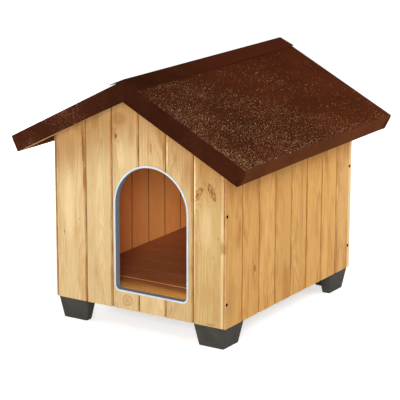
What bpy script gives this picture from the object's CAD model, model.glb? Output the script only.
"""Looks of the gabled timber dog house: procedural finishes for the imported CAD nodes, a modelled
felt cover with its granules, the small fasteners, the camera, the light and a plain floor.
Metres unless a name or comment says millimetres. The doorway faces -Y and +X is its right side."""

import math

import bmesh
import bpy
import numpy as np
from mathutils import Matrix, Vector


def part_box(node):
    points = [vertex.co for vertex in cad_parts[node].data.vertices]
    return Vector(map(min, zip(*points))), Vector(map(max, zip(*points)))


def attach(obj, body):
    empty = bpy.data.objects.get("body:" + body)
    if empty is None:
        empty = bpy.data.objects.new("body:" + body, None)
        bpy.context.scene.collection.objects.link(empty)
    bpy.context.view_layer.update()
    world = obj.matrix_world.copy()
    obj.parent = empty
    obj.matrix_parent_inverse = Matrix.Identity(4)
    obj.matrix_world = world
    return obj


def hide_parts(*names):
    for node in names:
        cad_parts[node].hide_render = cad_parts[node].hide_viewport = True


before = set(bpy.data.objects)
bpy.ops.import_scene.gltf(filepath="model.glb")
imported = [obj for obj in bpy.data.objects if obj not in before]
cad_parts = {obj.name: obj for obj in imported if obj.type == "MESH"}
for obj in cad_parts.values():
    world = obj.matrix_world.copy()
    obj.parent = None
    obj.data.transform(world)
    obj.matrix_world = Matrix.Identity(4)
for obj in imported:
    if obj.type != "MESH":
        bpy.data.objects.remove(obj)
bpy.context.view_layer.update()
MM = 0.001

# Sizes that the frame holds
SIDE_LOW, SIDE_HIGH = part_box("right_board_1")
FRONT_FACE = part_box("front_board_1")[0].y
BACK_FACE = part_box("back_board_1")[1].y
HALF_WIDTH = SIDE_HIGH.x
WALL_MIDDLE = (FRONT_FACE + BACK_FACE) / 2
WALL_HALF_DEPTH = (BACK_FACE - FRONT_FACE) / 2
BOARD_THICKNESS = SIDE_HIGH.x - SIDE_LOW.x
SIDE_BOARDS = sum(name.startswith("right_board_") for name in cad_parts)
BOARD_COVER = (BACK_FACE - FRONT_FACE) / SIDE_BOARDS
FELT_LOW, FELT_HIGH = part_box("roof_felt_right")
FLOOR_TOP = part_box("floor_panel")[1].z

# Sizes repeated from the part's source, or summed from its sizes
ROOF_PITCH = math.radians(27.25)
RIDGE_GAP = 0.6 * MM
PIECE_GAP = 0.3 * MM
EDGE_BOARD_DROP = 48.8 * MM
FELT_THICKNESS = 2.5 * MM
CAP_WING = 50 * MM
CAP_TOP = 1.8 * MM
DECK_UNDERSIDE = -14.8 * MM
HINGE_SHEET = 1.6 * MM
HINGE_PIN_DOWN = 329 * MM

# The photograph's camera, fitted to the corners of the house
CAMERA_PLACE = Vector((2.6077, -4.1333, 1.5765))
CAMERA_AZIMUTH = 0.566682
CAMERA_ELEVATION = 0.254358
CAMERA_ROLL = 0.002864
CAMERA_SENSOR = 36.0
CAMERA_FOCAL_PIXELS = 1753.38
IMAGE_WIDTH = 400


def srgb(red, green, blue):
    """A colour written as on screen, 0 to 255, as linear RGBA."""
    def linear(level):
        share = level / 255
        return share / 12.92 if share <= 0.04045 else ((share + 0.055) / 1.055) ** 2.4

    return (linear(red), linear(green), linear(blue), 1.0)


# -------- Node trees

class Graph:
    """A node tree under construction. Wherever a value goes in, a socket or a number will do."""

    def __init__(self, tree):
        self.tree = tree

    def feed(self, socket, value):
        if isinstance(value, bpy.types.NodeSocket):
            self.tree.links.new(value, socket)
        else:
            socket.default_value = value

    def node(self, kind, inputs=(), **settings):
        node = self.tree.nodes.new(kind)
        for name, value in settings.items():
            setattr(node, name, value)
        for key, value in dict(inputs).items():
            self.feed(node.inputs[key], value)
        return node

    def math(self, operation, *values):
        return self.node("ShaderNodeMath", dict(enumerate(values)), operation=operation).outputs[0]

    def times(self, first, second):
        return self.math("MULTIPLY", first, second)

    def plus(self, first, second):
        return self.math("ADD", first, second)

    def minus(self, first, second):
        return self.math("SUBTRACT", first, second)

    def times_plus(self, value, factor, more):
        return self.math("MULTIPLY_ADD", value, factor, more)

    def vector(self, operation, *values):
        node = self.node("ShaderNodeVectorMath", operation=operation)
        for socket, value in zip(node.inputs, values):
            self.feed(socket, value)
        return node.outputs["Value" if operation in ("DOT_PRODUCT", "LENGTH") else "Vector"]

    def join(self, x, y, z):
        return self.node("ShaderNodeCombineXYZ", {0: x, 1: y, 2: z}).outputs[0]

    def split(self, vector):
        return self.node("ShaderNodeSeparateXYZ", {0: vector}).outputs

    def drawn_out(self, first, first_scale, second, second_scale, third=0.0):
        """Coordinates for a noise whose patches run long one way."""
        first = self.times(first, first_scale)
        return self.join(first, self.times(second, second_scale), third)

    def smooth(self, value, low, high, at_low=0.0, at_high=1.0):
        """Eases from one value to the other as the first goes from low to high."""
        inputs = {"Value": value, "From Min": low, "From Max": high}
        inputs |= {"To Min": at_low, "To Max": at_high}
        node = self.node("ShaderNodeMapRange", inputs, interpolation_type="SMOOTHSTEP")
        return node.outputs["Result"]

    def noise(self, vector, scale, detail=2.0, roughness=0.5, distortion=0.0):
        inputs = {"Vector": vector, "Scale": scale, "Detail": detail}
        inputs |= {"Roughness": roughness, "Distortion": distortion}
        return self.node("ShaderNodeTexNoise", inputs).outputs["Fac"]

    def own_share(self, number):
        """A random share from 0 to 1 for each number."""
        node = self.node("ShaderNodeTexWhiteNoise", {"W": number}, noise_dimensions="1D")
        return node.outputs["Value"]

    def facing(self, axis):
        """How far the surface faces along an axis: 1 if it does, -1 if it faces away."""
        return self.vector("DOT_PRODUCT", self.node("ShaderNodeTexCoord").outputs["Normal"], axis)

    def cells(self, vector, scale):
        return self.node("ShaderNodeTexVoronoi", {"Vector": vector, "Scale": scale}).outputs

    def mix(self, factor, first, second, blend="MIX"):
        """Mixes two colours. A Mix node has sockets for each type, and these are the colour's."""
        inputs = {0: factor, 6: first, 7: second}
        return self.node("ShaderNodeMix", inputs, data_type="RGBA", blend_type=blend).outputs[2]

    def ramp(self, factor, stops):
        node = self.node("ShaderNodeValToRGB", {0: factor})
        elements = node.color_ramp.elements
        while len(elements) < len(stops):
            elements.new(0.5)
        for element, (position, colour) in zip(elements, stops):
            element.position = position
            element.color = colour
        return node.outputs[0]

    def bump(self, height, distance, strength=1.0, normal=None):
        inputs = {"Height": height, "Distance": distance, "Strength": strength}
        node = self.node("ShaderNodeBump", inputs)
        if normal is not None:
            self.feed(node.inputs["Normal"], normal)
        return node.outputs[0]


class Finish(Graph):
    """A material, with its Principled shader and the place of each point in millimetres."""

    def __init__(self, name, **constants):
        self.material = bpy.data.materials.new(name)
        self.material.use_nodes = True
        super().__init__(self.material.node_tree)
        self.shader = self.tree.nodes["Principled BSDF"]
        self.shade(**constants)
        place = self.node("ShaderNodeTexCoord").outputs["Object"]
        self.place = self.vector("SCALE", place)
        self.place.node.inputs["Scale"].default_value = 1 / MM

    def shade(self, **sockets):
        for key, value in sockets.items():
            self.feed(self.shader.inputs[key.replace("_", " ")], value)
        return self.material


def dress(node, material):
    """Gives a CAD node, or a new piece, one material on all its faces."""
    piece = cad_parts[node] if isinstance(node, str) else node
    piece.data.materials.clear()
    piece.data.materials.append(material)


# -------- Softwood
# A board is cut from a round log, so its grain is the log's rings met by its faces: the grain
# group works in millimetres across the board, into it and along it.

def softwood_group():
    tree = bpy.data.node_groups.new("softwood_grain", "ShaderNodeTree")
    sockets = {"Across": 0.0, "Inward": 0.0, "Along": 0.0, "Seed": 0.0, "Heart Across": 0.0}
    sockets |= {"Heart Inward": 60.0, "Ring": 4.0, "Taper": 0.01, "Warp": 0.0}
    for name, value in sockets.items():
        socket = tree.interface.new_socket(name, in_out="INPUT", socket_type="NodeSocketFloat")
        socket.default_value = value
    results = ("Rings", "Fibre", "Blotch", "Flecks", "Streaks")
    for name in results:
        tree.interface.new_socket(name, in_out="OUTPUT", socket_type="NodeSocketFloat")
    g = Graph(tree)
    given = g.node("NodeGroupInput").outputs
    across, inward, along = given["Across"], given["Inward"], given["Along"]
    seed = given["Seed"]

    # The heart wanders a little up the log, and the log tapers: that draws the arched figure.
    slow = g.join(g.times(along, 0.0035), seed, 0.0)
    sway = g.times_plus(g.noise(slow, 1.0, 1.0), 26.0, -13.0)
    elsewhere = g.vector("ADD", slow, (7, 3, 0))
    sway_inward = g.times_plus(g.noise(elsewhere, 1.0, 1.0), 20.0, -10.0)
    from_heart = g.plus(g.minus(across, given["Heart Across"]), sway)
    depth = g.plus(g.minus(inward, given["Heart Inward"]), sway_inward)
    squares = g.plus(g.math("POWER", from_heart, 2.0), g.math("POWER", depth, 2.0))
    radius = g.math("SQRT", squares)
    radius = g.plus(radius, g.times(along, given["Taper"]))
    radius = g.plus(radius, given["Warp"])
    ripple = g.noise(g.drawn_out(across, 0.06, along, 0.012, seed), 1.0, 2.0)
    radius = g.times_plus(ripple, 5.0, radius)

    # Each ring darkens slowly through the summer's growth and ends at once.
    turns = g.math("DIVIDE", radius, given["Ring"])
    year = g.math("FLOOR", turns)
    share = g.math("FRACT", turns)
    late = g.smooth(share, 0.25, 0.88)
    edge = g.smooth(share, 0.9, 1.0, 1.0, 0.0)
    strength = g.own_share(year)
    rings = g.times(late, edge)
    rings = g.times(rings, g.times_plus(strength, 0.6, 0.4))

    fine = g.drawn_out(across, 0.9, along, 0.02, g.plus(seed, inward))
    fibre = g.noise(fine, 1.0, 4.0, 0.65)
    wide = g.drawn_out(across, 0.022, along, 0.0065, seed)
    blotch = g.noise(wide, 1.0, 3.0, 0.55, 0.6)
    thin = g.drawn_out(across, 0.35, along, 0.03, g.plus(seed, 11.0))
    flecks = g.smooth(g.noise(thin, 1.0, 3.0, 0.6), 0.66, 0.76)
    long = g.drawn_out(across, 0.11, along, 0.0045, g.plus(seed, 23.0))
    streaks = g.smooth(g.noise(long, 1.0, 3.0, 0.6, 0.3), 0.56, 0.74)

    out = g.node("NodeGroupOutput")
    for name, value in zip(results, (rings, fibre, blotch, flecks, streaks)):
        g.feed(out.inputs[name], value)
    return tree


SOFTWOOD = softwood_group()


class Wood:
    """The colours of one stained wood: early growth, late growth, its blotches and its knots."""

    def __init__(self, early, late, blotch, knot, roughness=0.5):
        self.early, self.late, self.blotch, self.knot = early, late, blotch, knot
        self.roughness = roughness


FRONT_WOOD = Wood(srgb(218, 189, 139), srgb(186, 144, 88), srgb(196, 154, 98), srgb(118, 70, 32))
SIDE_WOOD = Wood(srgb(226, 175, 103), srgb(182, 122, 56), srgb(188, 124, 58), srgb(124, 68, 26))
INSIDE_WOOD = Wood(srgb(255, 148, 88), srgb(236, 120, 66), srgb(242, 128, 74), srgb(104, 50, 26))
INSIDE_FAR = Wood(srgb(255, 178, 98), srgb(255, 156, 82), srgb(255, 160, 88), srgb(104, 50, 26))
BATTEN_WOOD = Wood(srgb(214, 170, 112), srgb(170, 118, 64), srgb(190, 142, 86), srgb(110, 62, 30),
                   0.65)
DECK_WOOD = Wood(srgb(240, 158, 98), srgb(210, 126, 72), srgb(214, 130, 76), srgb(90, 44, 24), 0.7)
FLOOR_WOOD = Wood(srgb(174, 104, 64), srgb(143, 79, 47), srgb(140, 74, 42), srgb(78, 38, 22), 0.55)

# Stain in joints and streaks, bare wood on the floor and on arrises, and what darkens the wood
# under the roof and the boards that hang out past the walls
SOAKED_STAIN = srgb(166, 113, 57)
WORN_PALE = srgb(255, 184, 90)
RUBBED_PALE = srgb(250, 224, 176)
SHELTER_TINT = srgb(216, 190, 160)
OVERHANG_TINT = srgb(122, 100, 90)

# In millimetres: how far under the roof its shelter is full and where it ends, how deep in a
# board the inside stain starts and is full, where along Y it grows paler, and how far inside a
# wall's face the weathering of the roof's boards starts.
SHELTER_FULL, SHELTER_END = 60.0, 215.0
INSIDE_START, INSIDE_FULL = 9.0, 13.0
PALER_FROM, PALER_TO = -230.0, 190.0
WEATHERED_OVER = 4.0


def grey(g, value):
    return g.node("ShaderNodeCombineColor", {0: value, 1: value, 2: value}).outputs[0]


def mark_reach(g, u, w, mark):
    """How far from a mark's middle a point is, 1 at its rim, with an uneven outline."""
    across, along, half_width, half_length, tilt = mark[:5]
    turn = math.radians(tilt)
    du = g.minus(u, across)
    dw = g.minus(w, along)
    first = g.times_plus(du, math.cos(turn), g.times(dw, math.sin(turn)))
    second = g.times_plus(dw, math.cos(turn), g.times(du, -math.sin(turn)))
    reach = g.join(g.math("DIVIDE", first, half_width), g.math("DIVIDE", second, half_length), 0.0)
    fine = g.noise(g.drawn_out(u, 0.35, w, 0.12, across), 1.0, 3.0, 0.6)
    return g.plus(g.vector("LENGTH", reach), g.times_plus(fine, 1.1, -0.55))


def read_marks(g, u, w, marks):
    """How far the marks push the grain aside, how dark they make the wood and how pale."""
    warp, dark, pale = 0.0, 0.0, 0.0
    for mark in marks:
        darkness, push, rings = (*mark[5:], 0, 0)[:3]
        reach = mark_reach(g, u, w, mark)
        if push:
            warp = g.plus(warp, g.smooth(reach, 0.4, 3.4, push, 0.0))
        core = g.smooth(reach, 0.8 if rings else 0.4, 1.2, abs(darkness), 0.0)
        if rings:
            wave = g.math("SINE", g.times(reach, rings))
            core = g.times(core, g.times_plus(wave, 0.35, 0.65))
        if darkness < 0:
            pale = g.math("MAXIMUM", pale, core)
        else:
            dark = g.math("MAXIMUM", dark, core)
    return warp, dark, pale


def grain_colour(g, grain, wood, ring_share, tone=(1, 1, 1)):
    """The wood between its marks."""
    def toned(colour):
        return tuple(channel * share for channel, share in zip(colour, tone)) + (1.0,)

    early, late, blotch = toned(wood.early), toned(wood.late), toned(wood.blotch)
    colour = g.mix(g.times(grain["Rings"], ring_share), early, late)
    colour = g.mix(g.smooth(grain["Blotch"], 0.44, 0.74, 0.0, 0.7), colour, blotch)
    colour = g.mix(g.times(grain["Streaks"], 0.5), colour, blotch)
    fibre = g.smooth(grain["Fibre"], 0.25, 0.75, 0.86, 1.07)
    colour = g.mix(1.0, colour, grey(g, fibre), "MULTIPLY")
    return g.mix(g.times(grain["Flecks"], 0.45), colour, late)


def weather_overhang(g, colour):
    """Darkens a roof board where it hangs out past the walls."""
    x, y, _ = g.split(g.place)
    side, end = HALF_WIDTH / MM, WALL_HALF_DEPTH / MM
    past_side = g.smooth(g.math("ABSOLUTE", x), side - WEATHERED_OVER, side)
    from_middle = g.math("ABSOLUTE", g.minus(y, WALL_MIDDLE / MM))
    past_end = g.smooth(from_middle, end - WEATHERED_OVER, end)
    weathered = g.mix(1.0, colour, OVERHANG_TINT, "MULTIPLY")
    return g.mix(g.math("MAXIMUM", past_side, past_end), colour, weathered)


def darken_under_roof(g, colour, lean, top):
    """Darkens a wall close under the roof."""
    x, _, z = g.split(g.place)
    below = g.minus(top, g.times_plus(g.math("ABSOLUTE", x), lean, z))
    share = g.smooth(below, SHELTER_FULL, SHELTER_END, 0.78, 0.0)
    return g.mix(share, colour, g.mix(1.0, colour, SHELTER_TINT, "MULTIPLY"))


def stain_joints(g, u, v, w, seed, joints, wood, colour):
    """Stain gathers unevenly in a joint and beside it, and darkest in its bottom."""
    uneven = g.noise(g.drawn_out(w, 0.016, u, 0.2, seed), 1.0, 3.0, 0.6)
    heavy = g.smooth(uneven, 0.3, 0.7, 0.35, 1.0)
    shallow = g.smooth(v, 6.0, 7.5, 1.0, 0.0)
    flank = g.times(g.smooth(v, 0.1, 1.2, 0.0, 0.75), shallow)
    colour = g.mix(g.times(flank, heavy), colour, SOAKED_STAIN)
    for joint in joints:
        aside = g.math("ABSOLUTE", g.minus(u, joint))
        beside = g.smooth(aside, 3.0, 7.0, 0.6, 0.0)
        spread = g.times(beside, g.smooth(uneven, 0.5, 0.7))
        colour = g.mix(g.times(spread, shallow), colour, SOAKED_STAIN)
    deep = g.times(g.smooth(v, 2.2, 4.2, 0.0, 0.8), shallow)
    return g.mix(g.times(deep, heavy), colour, wood.knot)


def stain_inside(g, grain, u, v, across, joints, colour):
    """The deep stain of the face that looks into the cabin. The row's own two ends don't have it,
    and it is paler towards the back."""
    endways = g.math("ABSOLUTE", g.facing(across))
    inside = g.smooth(v, INSIDE_START, INSIDE_FULL)
    inside = g.times(inside, g.smooth(endways, 0.8, 0.95, 1.0, 0.0))
    stained = grain_colour(g, grain, INSIDE_WOOD, 0.4)
    far = g.smooth(g.split(g.place)[1], PALER_FROM, PALER_TO)
    stained = g.mix(far, stained, grain_colour(g, grain, INSIDE_FAR, 0.4))
    for joint in joints:
        aside = g.math("ABSOLUTE", g.minus(u, joint))
        stained = g.mix(g.smooth(aside, 1.2, 3.6, 0.85, 0.0), stained, INSIDE_WOOD.knot)
    return g.mix(inside, colour, stained)


def softwood(name, wood, across, inward, along, face, seed, marks=(), middle=0.0,
             joints=None, paler=None, tone=(1, 1, 1), sheltered=None, roof=False):
    """A board's finish. across, inward and along are the board's own directions and face is how
    far along inward its outer face lies, in millimetres. A mark is (across, along, half width,
    half length, tilt in degrees, darkness, how far it pushes the grain aside, its rings). The
    last two may be left out, and a darkness below 0 makes a pale place. middle is the across of
    the board's middle, and joints holds those of the joints on its two sides. paler is the wood
    of faces that look forward. tone multiplies the board's red, green and blue. sheltered is the
    roof's lean over the wall and its height. roof is for the boards of the roof."""
    luck = np.random.default_rng(seed)
    g = Finish(name, IOR=1.45, Specular_IOR_Level=0.1)
    u = g.vector("DOT_PRODUCT", g.place, across)
    v = g.minus(g.vector("DOT_PRODUCT", g.place, inward), face)
    w = g.vector("DOT_PRODUCT", g.place, along)

    warp, dark, pale = read_marks(g, u, w, marks)
    shift = luck.uniform(-300, 300)
    given = {"Across": u, "Inward": v, "Along": g.plus(w, shift), "Warp": warp}
    given |= {"Seed": luck.uniform(0, 90), "Heart Across": middle + luck.uniform(-45, 45)}
    given |= {"Heart Inward": luck.uniform(18, 60), "Ring": luck.uniform(3.6, 6.5)}
    given |= {"Taper": luck.uniform(0.01, 0.045)}
    grain = g.node("ShaderNodeGroup", given, node_tree=SOFTWOOD).outputs

    colour = grain_colour(g, grain, wood, 0.45 if joints else 0.6, tone)
    if paler:
        edge_on = g.smooth(g.facing((0, -1, 0)), 0.8, 0.95)
        colour = g.mix(edge_on, colour, grain_colour(g, grain, paler, 0.5))
    tint = g.mix(g.smooth(dark, 0.4, 0.75), SOAKED_STAIN, wood.knot)
    colour = g.mix(dark, colour, tint)
    if roof:
        colour = weather_overhang(g, colour)
    if sheltered:
        colour = darken_under_roof(g, colour, *sheltered)
    if joints:
        colour = stain_joints(g, u, v, w, seed, joints, wood, colour)
    colour = g.mix(pale, colour, RUBBED_PALE)
    if joints:
        colour = stain_inside(g, grain, u, v, across, joints, colour)
    height = g.times_plus(grain["Rings"], 0.5, g.times(grain["Fibre"], 0.8))
    rough = g.times_plus(grain["Fibre"], 0.16, wood.roughness - 0.08)
    return g.shade(Base_Color=colour, Roughness=rough, Normal=g.bump(height, 0.0005, 0.4))


# Knots, stains, streaks and pale places that the photograph shows on the front wall and on the
# right wall, in millimetres, and the tones of the boards that differ from their neighbours.
FRONT_MARKS = [
    (191, 422, 9, 27, -36, 0.95, 9, 8.7), (236, 436, 9, 24, 25, 0.95, 9, 8.7),
    (214, 455, 9, 7, 0, 0.3), (93, 525, 2.4, 3.5, 0, 0.95, 1), (34, 533, 2, 30, 0, 0.5),
    (43, 531, 3.5, 22, 3, 0.6, 2), (-72, 550, 5, 9, 0, 0.85, 7), (-77, 562, 7, 20, 24, 0.3),
    (-182, 500, 4.6, 64, 1, 0.82), (-180, 420, 4, 48, -1, 0.82), (-204, 590, 20, 50, 4, 0.5, 3),
    (-222, 480, 14, 60, 0, 0.22, 3), (-250, 256, 1.8, 7, 0, 0.8, 1), (-197, 299, 1.6, 5, 0, 0.6, 1),
    (-38, 90, 19, 17, 30, 0.5, 8, 10), (257, 312, 1.8, 5, 0, 0.7, 1), (242, 257, 1.8, 5, 0, 0.7, 1),
    (123, 511, 13, 9, 12, 0.3, 3, 5), (90, 84, 2.4, 16, 0, 0.8), (106, 84, 6, 20, -28, 0.35, 3, 6),
    (-90, 570, 2.6, 44, 0, 0.65), (235, 69, 16, 4, 0, 0.5), (-179, 130, 2.6, 90, 0, 0.55),
    (-264.5, 312, 1.6, 900, 0, 0.55), (264.5, 312, 1.2, 900, 0, 0.4), (-92, 130, 2.2, 60, 0, 0.4),
    (74, 560, 10, 40, 8, 0.35, 6, 5), (-140, 590, 16, 34, 0, 0.42, 3),
    (-60, 600, 26, 20, 0, 0.42, 4, 4), (-20, 560, 12, 40, 0, 0.3, 4), (215, 150, 30, 40, 0, 0.16),
    (160, 470, 16, 40, 0, 0.3, 2), (83, 528, 4, 52, 0, 0.62), (94.5, 522, 2.2, 54, 0, -0.8),
    (171, 450, 3.6, 92, 0, 0.55), (182.5, 440, 2.5, 98, 0, -1.0), (182, 250, 2, 130, 0, -0.5),
    (176, 95, 2.4, 50, 0, 0.5), (-184, 556, 6.5, 34, 3, 0.55), (-233, 330, 20, 120, 0, -0.3),
    (-128, 300, 18, 170, 0, -0.2), (216, 330, 22, 70, 0, -0.24), (-56, 500, 14, 46, 0, -0.24),
    (130, 440, 9, 40, 0, -0.2),
]
RIGHT_MARKS = [
    (-196, 196, 4.5, 13, 0, 0.9, 7), (-191, 238, 2, 48, 0, 0.6), (-204, 200, 3, 60, 0, 0.62),
    (-124, 83, 3, 28, 0, 0.6), (-146, 128, 2.6, 44, 0, 0.55), (-276, 330, 2.6, 40, 0, 0.55),
    (4, 175, 4.4, 66, 0, 0.75), (275, 160, 5, 90, 0, 0.62), (2, 300, 3.4, 90, 0, 0.6),
    (-196, 160, 2.4, 34, 0, 0.55), (60, 300, 12, 130, 0, 0.3, 4), (-180, 430, 14, 60, 0, 0.38, 5),
    (-320, 140, 26, 80, 0, 0.32, 4), (-230, 160, 8, 60, 0, 0.4, 3), (-138, 265, 9, 70, 0, -0.2, 12),
    (-170, 290, 4, 110, 0, 0.6), (-259, 190, 4, 130, 0, 0.62), (30, 205, 5, 90, 8, 0.28, 3),
    (349, 312, 9, 900, 0, -0.6), (-90, 340, 10, 90, 0, 0.22, 3), (-349, 287, 5, 21, 0, 0.55),
    (150, 260, 4, 60, 0, 0.22, 5), (205, 420, 7, 9, 0, 0.35, 6, 6), (-60, 120, 3, 40, 0, 0.3, 3),
    (94, 280, 3, 230, 0, 0.62), (-84, 250, 2.6, 200, 0, 0.5), (182, 300, 2, 200, 0, 0.5),
]
FRONT_TONES = {"front_board_4_upper": (0.94, 0.92, 0.9), "front_board_5": (0.86, 0.83, 0.78),
               "front_board_6": (0.83, 0.77, 0.65)}
RIGHT_TONES = {"right_board_1": (0.95, 0.95, 0.97), "right_board_2": (0.94, 0.92, 0.92),
               "right_board_4": (0.93, 0.92, 0.92), "right_board_8": (1.01, 1.04, 1.18)}


def random_marks(luck, low, high, bottom, top):
    """Up to two knots and a streak for a board that the photograph doesn't show."""
    marks = []
    for _ in range(luck.integers(0, 3)):
        size = luck.uniform(3, 7)
        place = (luck.uniform(low + 12, high - 12), luck.uniform(bottom + 40, top - 40))
        length, tilt = size * luck.uniform(1.1, 2.2), luck.uniform(-20, 20)
        marks.append((*place, size, length, tilt, 0.8, 8, 7))
    place = (luck.uniform(low + 5, high - 5), luck.uniform(bottom, top))
    marks.append((*place, luck.uniform(2, 6), luck.uniform(30, 90), 0, 0.35, 1))
    return marks


# In millimetres: where a joint is put that a board doesn't have, how near a board's edge a mark
# has to be to show on it too, and how far the roof's underside lies below its top at the ridge
FAR = 10000.0
MARK_NEAR = 12
ROOF_DEPTH = 17
# The roof's lean over a wall and its height on the middle plane, in millimetres
GABLE_SHELTER = math.tan(ROOF_PITCH), FELT_HIGH.z / MM - ROOF_DEPTH
EAVE_SHELTER = 0.0, SIDE_HIGH.z / MM


def dress_wall(prefix, wood, across, inward, face, seed, known=None, paler=None, tones=None):
    """Every board of one wall, each with grain of its own. Seen from outside, a board's tongue
    reaches past its right-hand joint, and the row's two outer edges have no joint."""
    boards = sorted(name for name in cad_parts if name.startswith(prefix + "_board_"))
    edges = [sorted(Vector(across).dot(end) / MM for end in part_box(name)) for name in boards]
    row = min(low for low, _ in edges), max(high for _, high in edges)
    for index, (name, (low, high)) in enumerate(zip(boards, edges)):
        luck = np.random.default_rng(seed + index)
        if known is None:
            bottom, top = (end.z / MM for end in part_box(name))
            marks = random_marks(luck, low, high, bottom, top)
        else:
            marks = [mark for mark in known if low - MARK_NEAR < mark[0] < high + MARK_NEAR]
        right = low + BOARD_COVER / MM
        joints = low if low > row[0] + 1 else -FAR, right if right < row[1] - 1 else FAR
        tone = (tones or {}).get(name, (luck.uniform(0.96, 1.03),) * 3)
        sheltered = GABLE_SHELTER if prefix in ("front", "back") else EAVE_SHELTER
        dress(name, softwood(f"{name}_pine", wood, across, inward, (0, 0, 1), face / MM,
                             seed + index, marks, (low + right) / 2, joints, paler, tone,
                             sheltered))


def dress_battens():
    slope = {"left": math.sin(ROOF_PITCH), "right": -math.sin(ROOF_PITCH)}
    for seed, name in enumerate(sorted(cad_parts)):
        wood = DECK_WOOD if name.startswith(("roof_deck", "eave_board")) else BATTEN_WOOD
        side = name.split("_")[-1]
        if name.startswith("bargeboard"):
            along = (math.cos(ROOF_PITCH), 0, slope[side])
        elif name in ("front_bottom_rail", "front_top_rail", "back_bottom_rail", "back_top_rail"):
            along = (1, 0, 0)
        elif name.endswith("rail") or name.startswith(("eave_board", "floor_batten", "roof_deck")):
            along = (0, 1, 0)
        else:
            continue
        across = Vector((0, 0, 1)) if name.startswith("bargeboard") else Vector((0.6, 0, 0.8))
        inward = Vector(along).cross(across).normalized()
        across = tuple(inward.cross(Vector(along)).normalized())
        dress(name, softwood(f"{name}_wood", wood, across, tuple(inward), along, 0.0, 300 + seed,
                             roof=wood is DECK_WOOD))


# -------- Other finishes

def floor_finish():
    """Boards across the house: each takes its own tone from its number in the row."""
    g = Finish("floor_boards", IOR=1.45)
    w, u, v = g.split(g.place)
    first = (FRONT_FACE + BOARD_THICKNESS) / MM
    number = g.math("FLOOR", g.math("DIVIDE", g.minus(u, first), BOARD_COVER / MM))
    own = g.own_share(number)
    given = {"Across": u, "Inward": g.minus(v, FLOOR_TOP / MM)}
    given |= {"Along": g.plus(w, g.times(own, 400.0))}
    given |= {"Seed": g.times(own, 60.0), "Heart Inward": -45.0, "Ring": 4.6, "Taper": 0.02}
    given |= {"Heart Across": g.times_plus(own, 60.0, -30.0)}
    grain = g.node("ShaderNodeGroup", given, node_tree=SOFTWOOD).outputs
    colour = grain_colour(g, grain, FLOOR_WOOD, 0.6)
    colour = g.mix(g.times(own, 0.35), colour, FLOOR_WOOD.late)
    # Paws rub the stain off behind the sill, most on the right, and off the first joint's arrises.
    from_sill = g.minus(u, first)
    ragged = g.times(g.noise(g.drawn_out(u, 0.03, w, 0.008), 1.0, 3.0), 60.0)
    worn = g.smooth(g.plus(from_sill, ragged), 48.0, 108.0, 1.0, 0.0)
    worn = g.times(worn, g.smooth(w, -80.0, 120.0, 0.7, 1.0))
    aside = g.math("ABSOLUTE", g.minus(from_sill, BOARD_COVER / MM))
    arris = g.smooth(aside, 2.0, 5.0, 0.7, 0.0)
    colour = g.mix(g.math("MAXIMUM", worn, arris), colour, WORN_PALE)
    joint = g.smooth(g.minus(FLOOR_TOP / MM, v), 0.1, 0.9, 0.0, 0.8)
    colour = g.mix(joint, colour, FLOOR_WOOD.knot)
    height = g.times_plus(grain["Rings"], 0.6, grain["Fibre"])
    rough = g.times_plus(grain["Fibre"], 0.15, 0.42)
    return g.shade(Base_Color=colour, Roughness=rough, Normal=g.bump(height, 0.0004, 0.4))


# The felt's tones on the slopes, on its folds, corner laps and eaves, and the tone of the pale
# granules that are left on its folds
FELT_BASE = srgb(74, 38, 23)
FELT_FAR = srgb(85, 41, 21)
FELT_DARK = srgb(63, 31, 18)
FELT_WARM = srgb(94, 51, 31)
FELT_FOLD = srgb(48, 21, 11)
FELT_LEFT_FOLD = srgb(64, 31, 18)
FELT_CORNER = srgb(70, 34, 20)
FELT_EAVE = srgb(94, 53, 31)
GRANULE_PALE = srgb(158, 122, 92)


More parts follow.
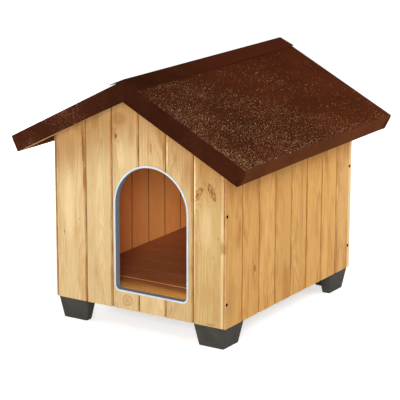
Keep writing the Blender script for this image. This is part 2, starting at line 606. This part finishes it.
def felt_finish(name, eave):
    """Brown mineral felt: granules on the slopes, pressed smooth and darker over the folds. eave
    is the colour of the faces that look sideways."""
    g = Finish(name, IOR=1.45, Specular_IOR_Level=0.01)
    normal = g.split(g.node("ShaderNodeTexCoord").outputs["Normal"])
    slope = g.smooth(normal[2], 0.2, 0.85)
    across = g.smooth(g.math("ABSOLUTE", normal[0]), 0.55, 0.8)
    rubbed = g.noise(g.place, 0.012, 3.0, 0.6)
    cells = g.cells(g.place, 0.5)
    luck = g.split(cells["Color"])
    stops = [(0.0, FELT_DARK), (0.45, FELT_BASE), (0.8, FELT_BASE), (1.0, FELT_WARM)]
    grains = g.ramp(luck[0], stops)
    far = g.smooth(g.split(g.place)[1], -260.0, 200.0, 0.1, 0.85)
    grains = g.mix(far, grains, FELT_FAR)
    side = g.smooth(g.split(g.place)[0], -160.0, -40.0, 1.0, 0.1)
    folded = g.mix(side, FELT_FOLD, FELT_LEFT_FOLD)
    folded = g.mix(g.smooth(rubbed, 0.35, 0.75, 0.0, 0.25), folded, FELT_BASE)
    folded = g.mix(across, folded, eave)
    left_by_fold = g.times(side, g.smooth(luck[1], 0.86, 0.94, 0.0, 0.45))
    left_by_fold = g.times(left_by_fold, g.smooth(rubbed, 0.3, 0.6))
    folded = g.mix(left_by_fold, folded, GRANULE_PALE)
    colour = g.mix(slope, folded, grains)
    wide = g.smooth(g.noise(g.vector("ADD", g.place, (90, 0, 0)), 0.008, 3.0, 0.6), 0.3, 0.7)
    patches = g.mix(wide, (0.86, 0.84, 0.84, 1), (1.16, 1.08, 1.04, 1))
    colour = g.mix(1.0, colour, patches, "MULTIPLY")
    dome = g.smooth(cells["Distance"], 0.1, 0.75, 1.0, 0.0)
    height = g.times(dome, g.times_plus(luck[2], 0.7, 0.3))
    height = g.times(height, g.times_plus(slope, 0.75, 0.25))
    dimples = g.bump(g.noise(g.place, 0.03, 2.0), 0.003, 0.35)
    rough = g.times_plus(luck[2], -0.1, 0.95)
    return g.shade(Base_Color=colour, Roughness=rough, Normal=g.bump(height, 0.0006, 0.6, dimples))


def granule_finish():
    """Loose stone chips, each with one tone."""
    g = Finish("roof_granules", IOR=1.5, Specular_IOR_Level=0.02)
    luck = g.node("ShaderNodeNewGeometry").outputs["Random Per Island"]
    stops = [(0.0, srgb(140, 88, 54)), (0.4, srgb(190, 134, 88))]
    stops += [(0.8, srgb(236, 192, 142)), (1.0, srgb(255, 236, 198))]
    colour = g.ramp(luck, stops)
    fine = g.noise(g.place, 2.0, 2.0)
    colour = g.mix(g.smooth(fine, 0.3, 0.7, 0.0, 0.2), colour, FELT_WARM)
    return g.shade(Base_Color=colour, Roughness=g.smooth(fine, 0.3, 0.7, 0.5, 0.8))


def cap_finish():
    g = Finish("ridge_cap_coated", IOR=1.5, Specular_IOR_Level=0.0)
    mottle = g.noise(g.place, 0.02, 4.0, 0.6)
    speck = g.noise(g.place, 0.9, 2.0, 0.5)
    along = g.times_plus(g.noise(g.place, 0.006, 2.0), 260.0, g.split(g.place)[1])
    faded = g.smooth(along, -300.0, 260.0)
    colour = g.mix(faded, srgb(56, 27, 14), srgb(86, 40, 25))
    colour = g.mix(g.smooth(mottle, 0.35, 0.7, 0.0, 0.5), colour, srgb(76, 42, 24))
    colour = g.mix(g.smooth(speck, 0.62, 0.72, 0.0, 0.2), colour, srgb(104, 62, 44))
    rough = g.smooth(mottle, 0.3, 0.7, 0.6, 0.72)
    dents = g.noise(g.place, 0.006, 2.0)
    normal = g.bump(speck, 0.00015, 0.5, g.bump(dents, 0.004, 0.5))
    return g.shade(Base_Color=colour, Roughness=rough, Normal=normal)


def aluminium_finish():
    g = Finish("door_trim_aluminium", Metallic=0.45)
    brushed = g.noise(g.vector("MULTIPLY", g.place, (1.0, 1.0, 0.05)), 1.5, 3.0)
    cloud = g.noise(g.place, 0.03, 3.0)
    colour = g.mix(g.smooth(cloud, 0.3, 0.7), srgb(212, 221, 229), srgb(230, 236, 240))
    # Darker and bluer on the faces that look into the doorway.
    colour = g.mix(g.smooth(g.facing((0, -1, 0)), 0.2, 0.7), srgb(146, 165, 180), colour)
    rough = g.smooth(brushed, 0.3, 0.7, 0.34, 0.46)
    return g.shade(Base_Color=colour, Roughness=rough, Normal=g.bump(brushed, 0.00008, 0.4))


def plastic_finish():
    g = Finish("foot_moulded_plastic", IOR=1.48, Specular_IOR_Level=0.2)
    grain = g.cells(g.place, 1.1)["Distance"]
    cloud = g.noise(g.place, 0.03, 3.0)
    colour = g.mix(g.smooth(cloud, 0.3, 0.7), srgb(60, 58, 53), srgb(69, 66, 61))
    rough = g.smooth(cloud, 0.3, 0.7, 0.5, 0.62)
    return g.shade(Base_Color=colour, Roughness=rough, Normal=g.bump(grain, 0.0002, 0.35))


def steel_finish(name, colour, metallic, roughness):
    g = Finish(name, Metallic=metallic, Specular_IOR_Level=0.0)
    cloud = g.noise(g.place, 0.2, 3.0)
    darker = tuple(channel * 0.8 for channel in colour[:3]) + (1.0,)
    shade = g.mix(g.smooth(cloud, 0.3, 0.7), darker, colour)
    rough = g.smooth(cloud, 0.3, 0.7, roughness, roughness + 0.15)
    return g.shade(Base_Color=shade, Roughness=rough)


# -------- New pieces

def add_object(name, data):
    thing = bpy.data.objects.new(name, data)
    bpy.context.scene.collection.objects.link(thing)
    return thing


def mesh_piece(name, points, faces, material, body):
    """A new piece that moves with one body."""
    mesh = bpy.data.meshes.new(name)
    mesh.from_pydata([tuple(point) for point in points], [], faces)
    mesh.update()
    piece = add_object(name, mesh)
    dress(piece, material)
    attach(piece, body)
    return piece


RIDGE_HEIGHT = FELT_HIGH.z + RIDGE_GAP / 2 * math.tan(ROOF_PITCH)
SLOPE_LENGTH = FELT_HIGH.x / math.cos(ROOF_PITCH)

# The felt covers lie this far inside the solids' outer faces. At its folds a cover turns with
# this radius, and it leaves this much of the edge boards bare.
FELT_INSET = 0.4 * MM
FELT_FOLD_RADIUS = 2.2 * MM
FELT_BARE = 1.0 * MM
FOLD_SEGMENTS = 4

# How far the felt was cut too long for the boards: along the front by the share of the way from
# ridge to eave, and along the eave by the share of the way from front to back, in millimetres.
FRONT_HANG = {1: ((0, 1), (4.4, 4.2)), -1: ((0, 0.3, 0.65, 1), (5.4, 2.0, 0.4, 0))}
EAVE_HANG = {1: ((0, 0.4, 1), (4.2, 0, 0)), -1: ((0, 1), (0, 0))}

# Width and thickness of a corner lap, how far its upright side stands in from the roof's edge,
# and its outline: share of the fold's height, then share of its width.
FLAP_WIDTH = 19 * MM
FLAP_THICKNESS = 1.1 * MM
FLAP_EDGE = 0.9 * MM
FLAP_OUTLINE = ((0.07, 0.35), (0.3, 0.9), (0.7, 1.0), (1.0, 0.93))

# Chips on each slope, the room they keep to its edges, and their sizes in millimetres
GRANULES_EACH = 8000
GRANULE_EDGE = 2 * MM
GRANULE_SIZE = 0.7, 1.5


def slope_frame(sign):
    """Takes (down the slope, along Y, over the felt) to the house's axes. sign is 1 for the right
    slope and -1 for the left."""
    down = Vector((sign * math.cos(ROOF_PITCH), 0, -math.sin(ROOF_PITCH)))
    over = Vector((sign * math.sin(ROOF_PITCH), 0, math.cos(ROOF_PITCH)))
    frame_axes = Matrix((down, (0, 1, 0), over)).transposed().to_4x4()
    return Matrix.Translation((0, 0, RIDGE_HEIGHT)) @ frame_axes


def granule_share(down, y):
    """How likely a loose pale granule lies here: often near the front and the eave, seldom up the
    back, in drifts."""
    down_share = down / SLOPE_LENGTH
    forward = (FELT_HIGH.y - y) / (FELT_HIGH.y - FELT_LOW.y)
    drift = 0.5 + 0.3 * math.sin(17 * down + 3) * math.cos(14 * y + 1)
    drift += 0.25 * math.sin(29 * down - 23 * y)
    drift += 0.22 * math.sin(71 * down + 40 * y) * math.cos(63 * y - 50 * down)
    near_front = max(0.0, 1 - (y - FELT_LOW.y) / 0.06)
    near_eave = max(0.0, 1 - (SLOPE_LENGTH - down) / 0.04)
    share = (0.05 + 0.95 * forward ** 1.5) * (0.25 + 0.85 * down_share) * max(0.1, 0.2 + drift)
    share += 0.5 * down_share * near_front + 0.3 * near_eave
    return min(1.0, max(0.02, share))


def add_granules(name, sign, material):
    """Flat three-sided chips of stone sown over one slope, bedded in the felt."""
    luck = np.random.default_rng(71 + sign)
    place = slope_frame(sign)
    points, faces = [], []
    count = 0
    while count < GRANULES_EACH:
        down = luck.uniform(CAP_WING + GRANULE_EDGE, SLOPE_LENGTH - GRANULE_EDGE)
        y = luck.uniform(FELT_LOW.y + GRANULE_EDGE, FELT_HIGH.y - GRANULE_EDGE)
        if luck.random() > granule_share(down, y):
            continue
        size = luck.uniform(*GRANULE_SIZE) * MM
        turn = luck.uniform(0, 2 * math.pi)
        for step in range(3):
            angle = turn + step * 2 * math.pi / 3 + luck.uniform(-0.4, 0.4)
            reach = size * luck.uniform(0.75, 1.3)
            across, along = reach * math.cos(angle), reach * math.sin(angle)
            points.append((down + across, y + along, -1.5 * FELT_INSET))
        aside = luck.uniform(-0.3, 0.3) * size
        points.append((down + aside, y - aside, size * luck.uniform(0.3, 0.5) - FELT_INSET))
        a, b, c, top = range(4 * count, 4 * count + 4)
        chip = [(a, b, top), (b, c, top), (c, a, top), (c, b, a)]
        faces += chip if sign > 0 else [face[::-1] for face in chip]
        count += 1
    points = [place @ Vector(point) for point in points]
    mesh_piece(name, points, faces, material, "roof")


def felt_hang(sign, down, y):
    """How far the cover's lower edge hangs below its straight course here."""
    share = (y - FELT_LOW.y) / (FELT_HIGH.y - FELT_LOW.y)
    on_front = y < FELT_LOW.y + 2 * FELT_FOLD_RADIUS
    on_eave = down > SLOPE_LENGTH - 2 * FELT_FOLD_RADIUS
    if on_front:
        return float(np.interp(down / SLOPE_LENGTH, *FRONT_HANG[sign])) * MM
    return float(np.interp(share, *EAVE_HANG[sign])) * MM if on_eave else 0.0


def add_felt(name, sign, material):
    """The cover of one slope: a sheet turned down over the boards, its folds rounded. It is a box
    without its ridge end and underside, which reaches past the ridge and is cut off there."""
    low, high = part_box(f"roof_felt_{name}")
    depth = high.y - low.y
    drop = EDGE_BOARD_DROP - FELT_BARE
    spare = 60 * MM
    size = Vector((SLOPE_LENGTH - FELT_INSET + spare, depth - 2 * FELT_INSET, drop - FELT_INSET))
    centre = Vector(((SLOPE_LENGTH - FELT_INSET - spare) / 2, 0, -(drop + FELT_INSET) / 2))
    bm = bmesh.new()
    bmesh.ops.create_cube(bm, size=1)
    for vertex in bm.verts:
        vertex.co = Vector(vertex.co[i] * size[i] for i in range(3)) + centre
    gone = [f for f in bm.faces if f.normal.z < -0.9 or f.normal.x < -0.9]
    bmesh.ops.delete(bm, geom=gone, context="FACES")
    folds = [e for e in bm.edges if len(e.link_faces) == 2]
    bent = bmesh.ops.bevel(bm, geom=folds, offset=FELT_FOLD_RADIUS, segments=FOLD_SEGMENTS,
                           profile=0.5, affect="EDGES")
    for face in bent["faces"]:
        face.smooth = True
    cuts = [((share * SLOPE_LENGTH, 0, 0), (1, 0, 0)) for share in FRONT_HANG[sign][0][1:-1]]
    cuts += [((0, low.y + share * depth, 0), (0, 1, 0)) for share in EAVE_HANG[sign][0][1:-1]]
    for point, normal in cuts:
        geometry = bm.verts[:] + bm.edges[:] + bm.faces[:]
        bmesh.ops.bisect_plane(bm, geom=geometry, plane_co=point, plane_no=normal)
    for vertex in bm.verts:
        if vertex.co.z < 0.1 * MM - drop:
            vertex.co.z -= felt_hang(sign, vertex.co.x, vertex.co.y)
    bm.transform(slope_frame(sign))
    if sign < 0:
        bmesh.ops.reverse_faces(bm, faces=bm.faces)
    edge = Vector((sign * RIDGE_GAP / 2, 0, 0))
    geometry = bm.verts[:] + bm.edges[:] + bm.faces[:]
    bmesh.ops.bisect_plane(bm, geom=geometry, plane_co=edge, plane_no=(-sign, 0, 0),
                           clear_outer=True)
    mesh = bpy.data.meshes.new(f"felt_cover_{name}")
    bm.to_mesh(mesh)
    bm.free()
    piece = add_object(f"felt_cover_{name}", mesh)
    thick = piece.modifiers.new("thickness", "SOLIDIFY")
    thick.thickness = FELT_THICKNESS - FELT_INSET
    thick.offset = -1
    dress(piece, material)
    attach(piece, "roof")
    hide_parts(f"roof_felt_{name}")


def add_felt_flaps(material):
    """At each corner of the roof the front or back fold is lapped round onto the eave's face."""
    outer = SLOPE_LENGTH - FELT_INSET
    height = EDGE_BOARD_DROP - FELT_BARE - FELT_INSET
    for sign, side in ((-1, "left"), (1, "right")):
        place = slope_frame(sign)
        for end, edge, toward in (("front", FELT_LOW.y, 1), ("back", FELT_HIGH.y, -1)):
            near = edge + toward * FLAP_EDGE
            points, faces = [], []
            for share, reach in FLAP_OUTLINE:
                over = -share * (height + felt_hang(sign, outer, near))
                far = edge + toward * FLAP_WIDTH * reach
                # The lap is thin where it leaves the rounded fold.
                lift = FLAP_THICKNESS * (0.35 if over > -5 * MM else 1.0)
                points += [(outer - MM, near, over), (outer + lift, near, over)]
                points.append((outer + lift * 0.8, far - toward * 1.5 * MM, over))
                points.append((outer - MM, far, over))
            last = len(points) - 4
            for a in range(0, last, 4):
                b = a + 4
                faces += [(a + i, a + (i + 1) % 4, b + (i + 1) % 4, b + i) for i in range(4)]
            faces += [(3, 2, 1, 0), (last, last + 1, last + 2, last + 3)]
            if sign * toward < 0:
                faces = [face[::-1] for face in faces]
            corners = [place @ Vector(point) for point in points]
            mesh_piece(f"felt_flap_{end}_{side}", corners, faces, material, "roof")


def add_screw(name, place, outward, radius, height, material, body):
    """A domed head with a cross recess, its axis along outward. The recess is given as shares of
    the head's radius and height."""
    rings, sides = 7, 24
    recess_half_width, recess_end, recess_slope, recess_depth = 0.16, 0.62, 0.12, 0.55
    turn = Vector((0, 0, 1)).rotation_difference(Vector(outward)).to_matrix().to_4x4()
    move = Matrix.Translation(place) @ turn
    points, faces = [], []

    def top(x, y):
        reach = math.hypot(x, y) / radius
        dome = height * math.sqrt(max(0.0, 1 - 0.75 * reach * reach))
        depth = max(0.0, 1 - (min(abs(x), abs(y)) / (radius * recess_half_width)) ** 2)
        depth *= max(0.0, min(1.0, (recess_end - reach) / recess_slope))
        return dome - depth * height * recess_depth

    points.append((0, 0, top(0, 0)))
    for ring in range(1, rings + 1):
        reach = radius * ring / rings
        for side in range(sides):
            angle = 2 * math.pi * side / sides
            x, y = reach * math.cos(angle), reach * math.sin(angle)
            points.append((x, y, top(x, y)))
    for side in range(sides):
        angle = 2 * math.pi * side / sides
        points.append((radius * math.cos(angle), radius * math.sin(angle), -height))
    points.append((0, 0, -height))
    for side in range(sides):
        after = (side + 1) % sides
        faces.append((0, 1 + side, 1 + after))
        for ring in range(rings):
            inner, outer = 1 + ring * sides, 1 + (ring + 1) * sides
            faces.append((inner + side, outer + side, outer + after, inner + after))
        last = 1 + rings * sides
        faces.append((last + after, last + side, len(points) - 1))
    points = [move @ Vector(point) for point in points]
    piece = mesh_piece(name, points, faces, material, body)
    for polygon in piece.data.polygons:
        polygon.use_smooth = True
    piece.data.set_sharp_from_angle(angle=math.radians(50))


# Radius and height of the three kinds of screw heads
CAP_SCREW = 3.6 * MM, 1.5 * MM
WALL_SCREW = 4.6 * MM, 0.9 * MM
HINGE_SCREW = 3 * MM, 0.7 * MM


def add_cap_screws(material):
    down, reach = 23 * MM, 312 * MM
    for sign, side in ((-1, "left"), (1, "right")):
        place = slope_frame(sign)
        outward = place.to_3x3() @ Vector((0, 0, 1))
        for end, y in (("front", -reach), ("middle", 0.0), ("back", reach)):
            spot = place @ Vector((down, y, CAP_TOP))
            add_screw(f"cap_screw_{end}_{side}", spot, outward, *CAP_SCREW, material, "roof")


def add_wall_screws(material):
    from_front, from_back = 6.5 * MM, 11 * MM
    lower, upper = 131 * MM, 374 * MM
    for sign, side in ((-1, "left"), (1, "right")):
        for end, y in (("front", FRONT_FACE + from_front), ("back", BACK_FACE - from_back)):
            for level, z in (("lower", lower), ("upper", upper)):
                spot = Vector((sign * HALF_WIDTH, y, z))
                add_screw(f"wall_screw_{level}_{end}_{side}", spot, (sign, 0, 0), *WALL_SCREW,
                          material, "house")


def add_hinge_screws(material):
    """Three in each leaf: through the wall leaf from outside, and up into the deck."""
    from_edge, past_pin, apart = 8 * MM, 17 * MM, 23 * MM
    outside = -HALF_WIDTH - PIECE_GAP - HINGE_SHEET
    place = slope_frame(-1)
    under = DECK_UNDERSIDE - PIECE_GAP - HINGE_SHEET
    below = place.to_3x3() @ Vector((0, 0, -1))
    for end in ("front", "back"):
        low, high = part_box(f"hinge_{end}_wall_leaf")
        middle = (low.y + high.y) / 2
        for number, along in enumerate((-apart, 0.0, apart)):
            spot = Vector((outside, middle + along, low.z + from_edge))
            add_screw(f"hinge_screw_{end}_wall_{number}", spot, (-1, 0, 0), *HINGE_SCREW, material,
                      "house")
            spot = place @ Vector((HINGE_PIN_DOWN + past_pin, middle + along, under))
            add_screw(f"hinge_screw_{end}_roof_{number}", spot, below, *HINGE_SCREW, material,
                      "roof")


# -------- Camera, light and floor

def direction(azimuth, elevation):
    """The way out from the house: azimuth 0 is -Y, and azimuth 90 degrees is +X."""
    level = math.cos(elevation)
    return Vector((math.sin(azimuth) * level, -math.cos(azimuth) * level, math.sin(elevation)))


def add_camera():
    back = direction(CAMERA_AZIMUTH, CAMERA_ELEVATION)
    right = (-back).cross(Vector((0, 0, 1))).normalized()
    up = right.cross(-back)
    cos, sin = math.cos(CAMERA_ROLL), math.sin(CAMERA_ROLL)
    right, up = right * cos + up * sin, up * cos - right * sin
    data = bpy.data.cameras.new("camera")
    data.sensor_width = CAMERA_SENSOR
    data.lens = CAMERA_FOCAL_PIXELS / IMAGE_WIDTH * CAMERA_SENSOR
    data.clip_end = 100
    camera = add_object("camera", data)
    axes = Matrix((right, up, back)).transposed().to_4x4()
    camera.matrix_world = Matrix.Translation(CAMERA_PLACE) @ axes
    bpy.context.scene.camera = camera


LAMP_TARGET = Vector((0, 0, 0.35))


def add_softbox(name, azimuth, elevation, distance, size, exposure):
    """A square lamp that faces the house, its angles in degrees. At exposure 1 it alone shows a
    white card that faces it as white."""
    back = direction(math.radians(azimuth), math.radians(elevation))
    data = bpy.data.lights.new(name, "AREA")
    data.shape = "SQUARE"
    data.size = size
    data.energy = exposure * math.pi ** 2 * distance ** 2
    turn = back.to_track_quat("Z", "Y").to_matrix().to_4x4()
    lamp = add_object(name, data)
    lamp.matrix_world = Matrix.Translation(LAMP_TARGET + back * distance) @ turn


FLOOR_HALF = 30
AMBIENT = 0.2


def add_stage():
    """A pale floor that keeps the shadow, in a room that lights the house at the ambient strength
    and that the camera, gloss and glass see as white."""
    mesh = bpy.data.meshes.new("floor")
    half = FLOOR_HALF
    corners = [(-half, -half, 0), (half, -half, 0), (half, half, 0), (-half, half, 0)]
    mesh.from_pydata(corners, [], [(0, 1, 2, 3)])
    floor = add_object("floor", mesh)
    material = bpy.data.materials.new("studio_floor")
    material.use_nodes = True
    g = Graph(material.node_tree)
    g.tree.nodes.clear()
    rays = g.node("ShaderNodeLightPath").outputs
    lit = g.node("ShaderNodeBsdfDiffuse", {"Color": (0.8, 0.8, 0.8, 1)}).outputs[0]
    # It is seen brighter further out, so that it runs into the white room without an edge.
    away = g.vector("LENGTH", g.node("ShaderNodeTexCoord").outputs["Object"])
    haze = g.times(rays["Is Camera Ray"], g.smooth(away, 0.9, 2.6, 0.6, 0.84))
    glow = g.node("ShaderNodeEmission", {"Color": (1, 1, 1, 1), "Strength": haze})
    both = g.node("ShaderNodeAddShader", {0: lit, 1: glow.outputs[0]}).outputs[0]
    g.node("ShaderNodeOutputMaterial", {"Surface": both})
    floor.data.materials.append(material)

    world = bpy.data.worlds.new("white_room")
    world.use_nodes = True
    bpy.context.scene.world = world
    w = Graph(world.node_tree)
    w.tree.nodes.clear()
    rays = w.node("ShaderNodeLightPath").outputs
    seen = w.math("MAXIMUM", rays["Is Glossy Ray"], rays["Is Transmission Ray"])
    seen = w.math("MAXIMUM", rays["Is Camera Ray"], seen)
    strength = w.times_plus(seen, 1 - AMBIENT, AMBIENT)
    sky = w.node("ShaderNodeBackground", {"Color": (1, 1, 1, 1), "Strength": strength})
    w.node("ShaderNodeOutputWorld", {"Surface": sky.outputs[0]})


# -------- The scene

add_camera()
add_stage()
# Azimuth, elevation, distance, size and exposure
add_softbox("key", -36, 42, 3.2, 1.2, 0.14)
add_softbox("front_fill", 27, 14, 4.5, 1.4, 0.83)
add_softbox("side_fill", 120, 24, 1.9, 1.0, 0.37)
add_softbox("back_fill", 235, 25, 3.0, 1.2, 0.45)

dress_wall("front", FRONT_WOOD, (1, 0, 0), (0, 1, 0), FRONT_FACE, 10, FRONT_MARKS,
           tones=FRONT_TONES)
dress_wall("right", SIDE_WOOD, (0, 1, 0), (-1, 0, 0), -HALF_WIDTH, 40, RIGHT_MARKS, FRONT_WOOD,
           RIGHT_TONES)
dress_wall("left", SIDE_WOOD, (0, -1, 0), (1, 0, 0), -HALF_WIDTH, 80, paler=FRONT_WOOD)
dress_wall("back", SIDE_WOOD, (-1, 0, 0), (0, -1, 0), -BACK_FACE, 120)
dress_battens()
dress("floor_panel", floor_finish())
dress("ridge_cap", cap_finish())
dress("door_edge_trim", aluminium_finish())
plastic = plastic_finish()
for corner in ("front_left", "front_right", "back_right", "back_left"):
    dress(f"foot_{corner}", plastic)
zinc = steel_finish("hinge_zinc", srgb(196, 198, 202), 1.0, 0.3)
for place in ("front", "back"):
    for leaf in ("wall_leaf", "roof_leaf"):
        dress(f"hinge_{place}_{leaf}", zinc)

felt = felt_finish("roof_felt_granulated", FELT_EAVE)
chips = granule_finish()
for sign, side in ((-1, "left"), (1, "right")):
    add_felt(side, sign, felt)
    add_granules(f"granules_{side}", sign, chips)
add_felt_flaps(felt_finish("roof_felt_laps", FELT_CORNER))
add_cap_screws(steel_finish("cap_screw_steel", srgb(150, 146, 142), 1.0, 0.3))
add_wall_screws(steel_finish("wall_screw_black", srgb(16, 10, 7), 0.0, 0.8))
add_hinge_screws(zinc)

scene = bpy.context.scene
scene.view_settings.view_transform = "Standard"
